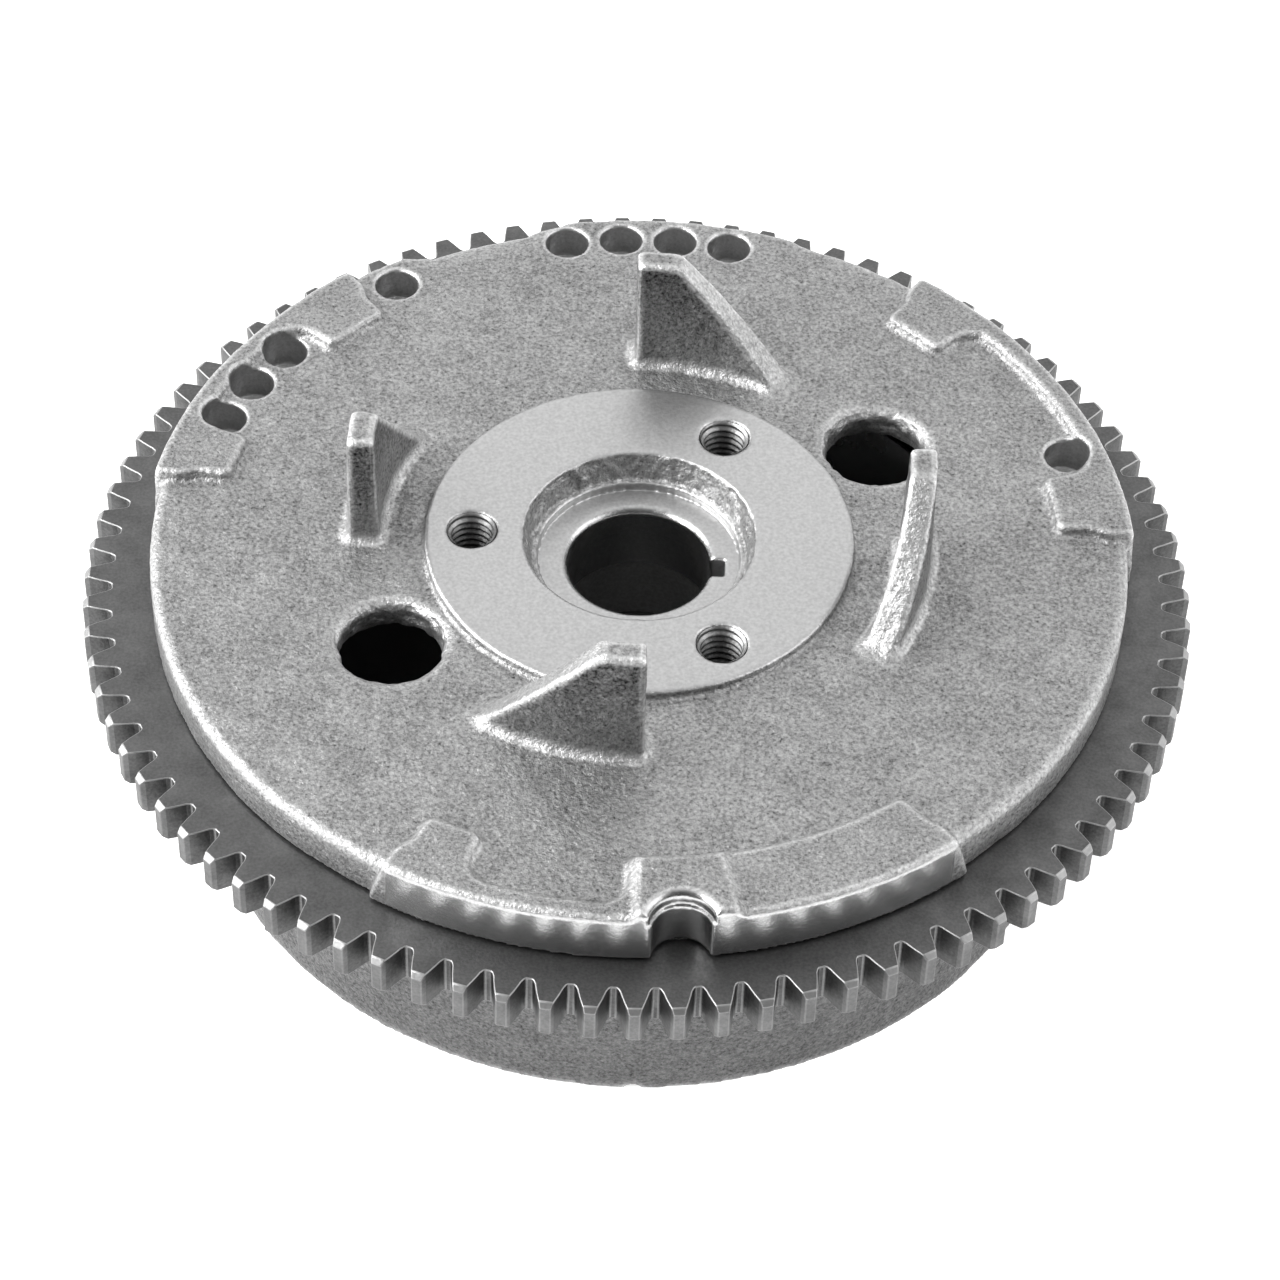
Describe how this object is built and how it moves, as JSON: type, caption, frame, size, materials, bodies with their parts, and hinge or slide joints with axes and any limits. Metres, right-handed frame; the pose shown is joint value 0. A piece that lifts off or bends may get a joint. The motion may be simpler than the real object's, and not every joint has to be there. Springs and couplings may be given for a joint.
{
  "type": "small engine flywheel",
  "caption": "Cast iron small-engine flywheel with starter ring gear, fan fins on the web, tapered keyed hub and alternator magnets inside the skirt.",
  "frame": {"origin": "on the crankshaft axis, level with the skirt's lower edge", "axes": "+Z along the crankshaft axis from the engine outwards through the hub face; -Y points to the front of the rim, where the rim's timing notch is, 5.9 degrees towards +X of -Y; +X to the right of that"},
  "size_m": [0.2209, 0.221, 0.0867],
  "materials": {
    "cast_iron": "sand-cast skin, hub face and pads machined and ground",
    "gear_steel": "dark hobbed steel, smooth top face, bright chamfers",
    "ferrite": "dark grey sintered ceramic",
    "black_nylon": "moulded black nylon",
    "stainless": "thin rolled sheet"
  },
  "bodies": {
    "root": {"casting": "cast_iron", "ring_gear": "gear_steel", "magnet_01": "ferrite", "magnet_02": "ferrite", "magnet_03": "ferrite", "magnet_04": "ferrite", "magnet_05": "ferrite", "magnet_06": "ferrite", "magnet_07": "ferrite", "magnet_08": "ferrite", "magnet_09": "ferrite", "magnet_10": "ferrite", "magnet_11": "ferrite", "magnet_12": "ferrite", "magnet_spacer": "black_nylon", "magnet_cover": "stainless"}
  },
  "joints": []
}
